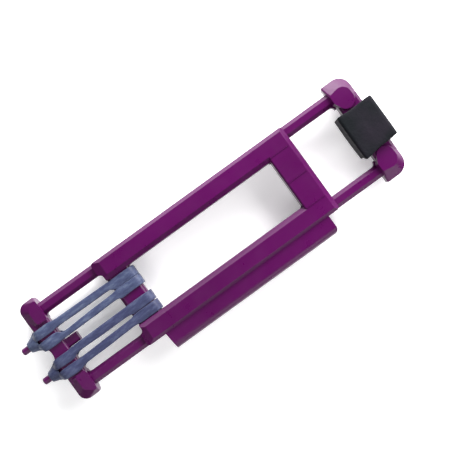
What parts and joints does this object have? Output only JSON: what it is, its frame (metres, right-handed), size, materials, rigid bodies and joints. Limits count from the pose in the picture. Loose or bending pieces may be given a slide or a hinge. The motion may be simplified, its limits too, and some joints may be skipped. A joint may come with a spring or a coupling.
{
  "type": "finger exerciser",
  "caption": "Hand-held finger and thumb exerciser: a grooved handle with a sliding thumb frame resisted by rubber bands on pegs.",
  "frame": {"origin": "under the middle of the object's box, on the surface that it lies on", "axes": "+X along the rails from the band pegs to the thumb pad, +Y across the rails away from the palm grip, +Z out of the front face; it lies flat on its rear"},
  "size_m": [0.2398, 0.07, 0.0222],
  "materials": {
    "moulded_purple": "satin moulded plastic, purple",
    "blue_rubber": "matt slate-blue latex",
    "black_foam": "closed-cell foam, matt blue-black",
    "screw_steel": "zinc-plated steel"
  },
  "bodies": {
    "handle": {"handle_front_shell": "moulded_purple", "handle_rear_shell": "moulded_purple", "handle_screws": "screw_steel", "palm_grip": "moulded_purple", "upper_rubber_band": "blue_rubber", "lower_rubber_band": "blue_rubber"},
    "slider": {"upper_slide_rod": "moulded_purple", "lower_slide_rod": "moulded_purple", "thumb_crosshead": "moulded_purple", "thumb_end_screws": "screw_steel", "band_crosshead": "moulded_purple", "band_end_screws": "screw_steel", "thumb_pad": "black_foam"}
  },
  "joints": [
    {"name": "thumb_slide", "type": "slide", "parent": "handle", "child": "slider", "axis": [1, 0, 0], "range_m": [-0.0265, 0.0305], "stiffness_N_per_m": 700, "springref_m": 0.033, "deforming": ["upper_rubber_band", "lower_rubber_band"]}
  ]
}
